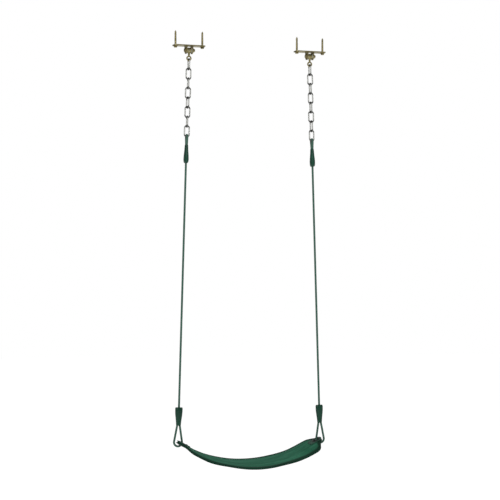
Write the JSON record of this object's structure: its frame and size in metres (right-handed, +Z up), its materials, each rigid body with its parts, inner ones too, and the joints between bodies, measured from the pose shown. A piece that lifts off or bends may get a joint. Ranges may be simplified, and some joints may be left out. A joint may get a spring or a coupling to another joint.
{
  "type": "belt swing seat",
  "caption": "Flexible belt swing seat on rope and chain lines, each hung from a pivoting hanger that screws to the underside of a beam.",
  "frame": {"origin": "on the underside of the beam, midway between the two hangers", "axes": "+X along the beam, +Y towards the rider's back, +Z up into the beam"},
  "size_m": [0.647, 0.1716, 1.7405],
  "materials": {
    "yellow_zinc": "yellow zinc plate, satin",
    "galvanised_steel": "bright zinc plate, slightly dull",
    "nylon": "natural nylon",
    "rope": "laid polypropylene rope, dull sheen",
    "clamp_plastic": "moulded, semi-gloss",
    "belt": "moulded flexible plastic, satin, fine lengthwise ribs",
    "end_plate_paint": "dark green-black powder coat",
    "eyelet_nylon": "black nylon",
    "rivet_steel": "dull steel"
  },
  "bodies": {
    "hangers": {"left_hanger_plate": "yellow_zinc", "right_hanger_plate": "yellow_zinc", "left_lag_screws": "yellow_zinc", "right_lag_screws": "yellow_zinc", "left_lag_washers": "yellow_zinc", "right_lag_washers": "yellow_zinc", "left_pivot_bolt": "yellow_zinc", "right_pivot_bolt": "yellow_zinc", "left_pivot_nut": "yellow_zinc", "right_pivot_nut": "yellow_zinc"},
    "upper_chains": {"left_swing_eye": "yellow_zinc", "right_swing_eye": "yellow_zinc", "left_pivot_bushings": "nylon", "right_pivot_bushings": "nylon", "left_link_1": "galvanised_steel", "right_link_1": "galvanised_steel", "left_link_2": "galvanised_steel", "right_link_2": "galvanised_steel", "left_link_3": "galvanised_steel", "right_link_3": "galvanised_steel", "left_link_4": "galvanised_steel", "right_link_4": "galvanised_steel"},
    "lower_chains": {"left_link_5": "galvanised_steel", "right_link_5": "galvanised_steel", "left_link_6": "galvanised_steel", "right_link_6": "galvanised_steel", "left_link_7": "galvanised_steel", "right_link_7": "galvanised_steel", "left_link_8": "galvanised_steel", "right_link_8": "galvanised_steel"},
    "ropes": {"left_rope": "rope", "right_rope": "rope", "left_upper_clamp": "clamp_plastic", "right_upper_clamp": "clamp_plastic", "left_lower_clamp": "clamp_plastic", "right_lower_clamp": "clamp_plastic"},
    "seat": {"seat_belt": "belt", "left_top_end_plate": "end_plate_paint", "right_top_end_plate": "end_plate_paint", "left_bottom_end_plate": "end_plate_paint", "right_bottom_end_plate": "end_plate_paint", "left_eyelet": "eyelet_nylon", "right_eyelet": "eyelet_nylon", "left_rivets": "rivet_steel", "right_rivets": "rivet_steel"}
  },
  "joints": [
    {"name": "swing", "type": "hinge", "parent": "hangers", "child": "upper_chains", "pos_m": [0, 0, -0.02], "axis": [1, 0, 0], "range_deg": [-60, 60]},
    {"name": "chain_bend", "type": "hinge", "parent": "upper_chains", "child": "lower_chains", "pos_m": [0, 0, -0.21249], "axis": [1, 0, 0], "range_deg": [-30, 30]},
    {"name": "rope_bend", "type": "hinge", "parent": "lower_chains", "child": "ropes", "pos_m": [0, 0, -0.36522], "axis": [1, 0, 0], "range_deg": [-30, 30]},
    {"name": "seat_tilt", "type": "hinge", "parent": "ropes", "child": "seat", "pos_m": [0, 0, -1.58155], "axis": [1, 0, 0], "range_deg": [-30, 30]}
  ]
}
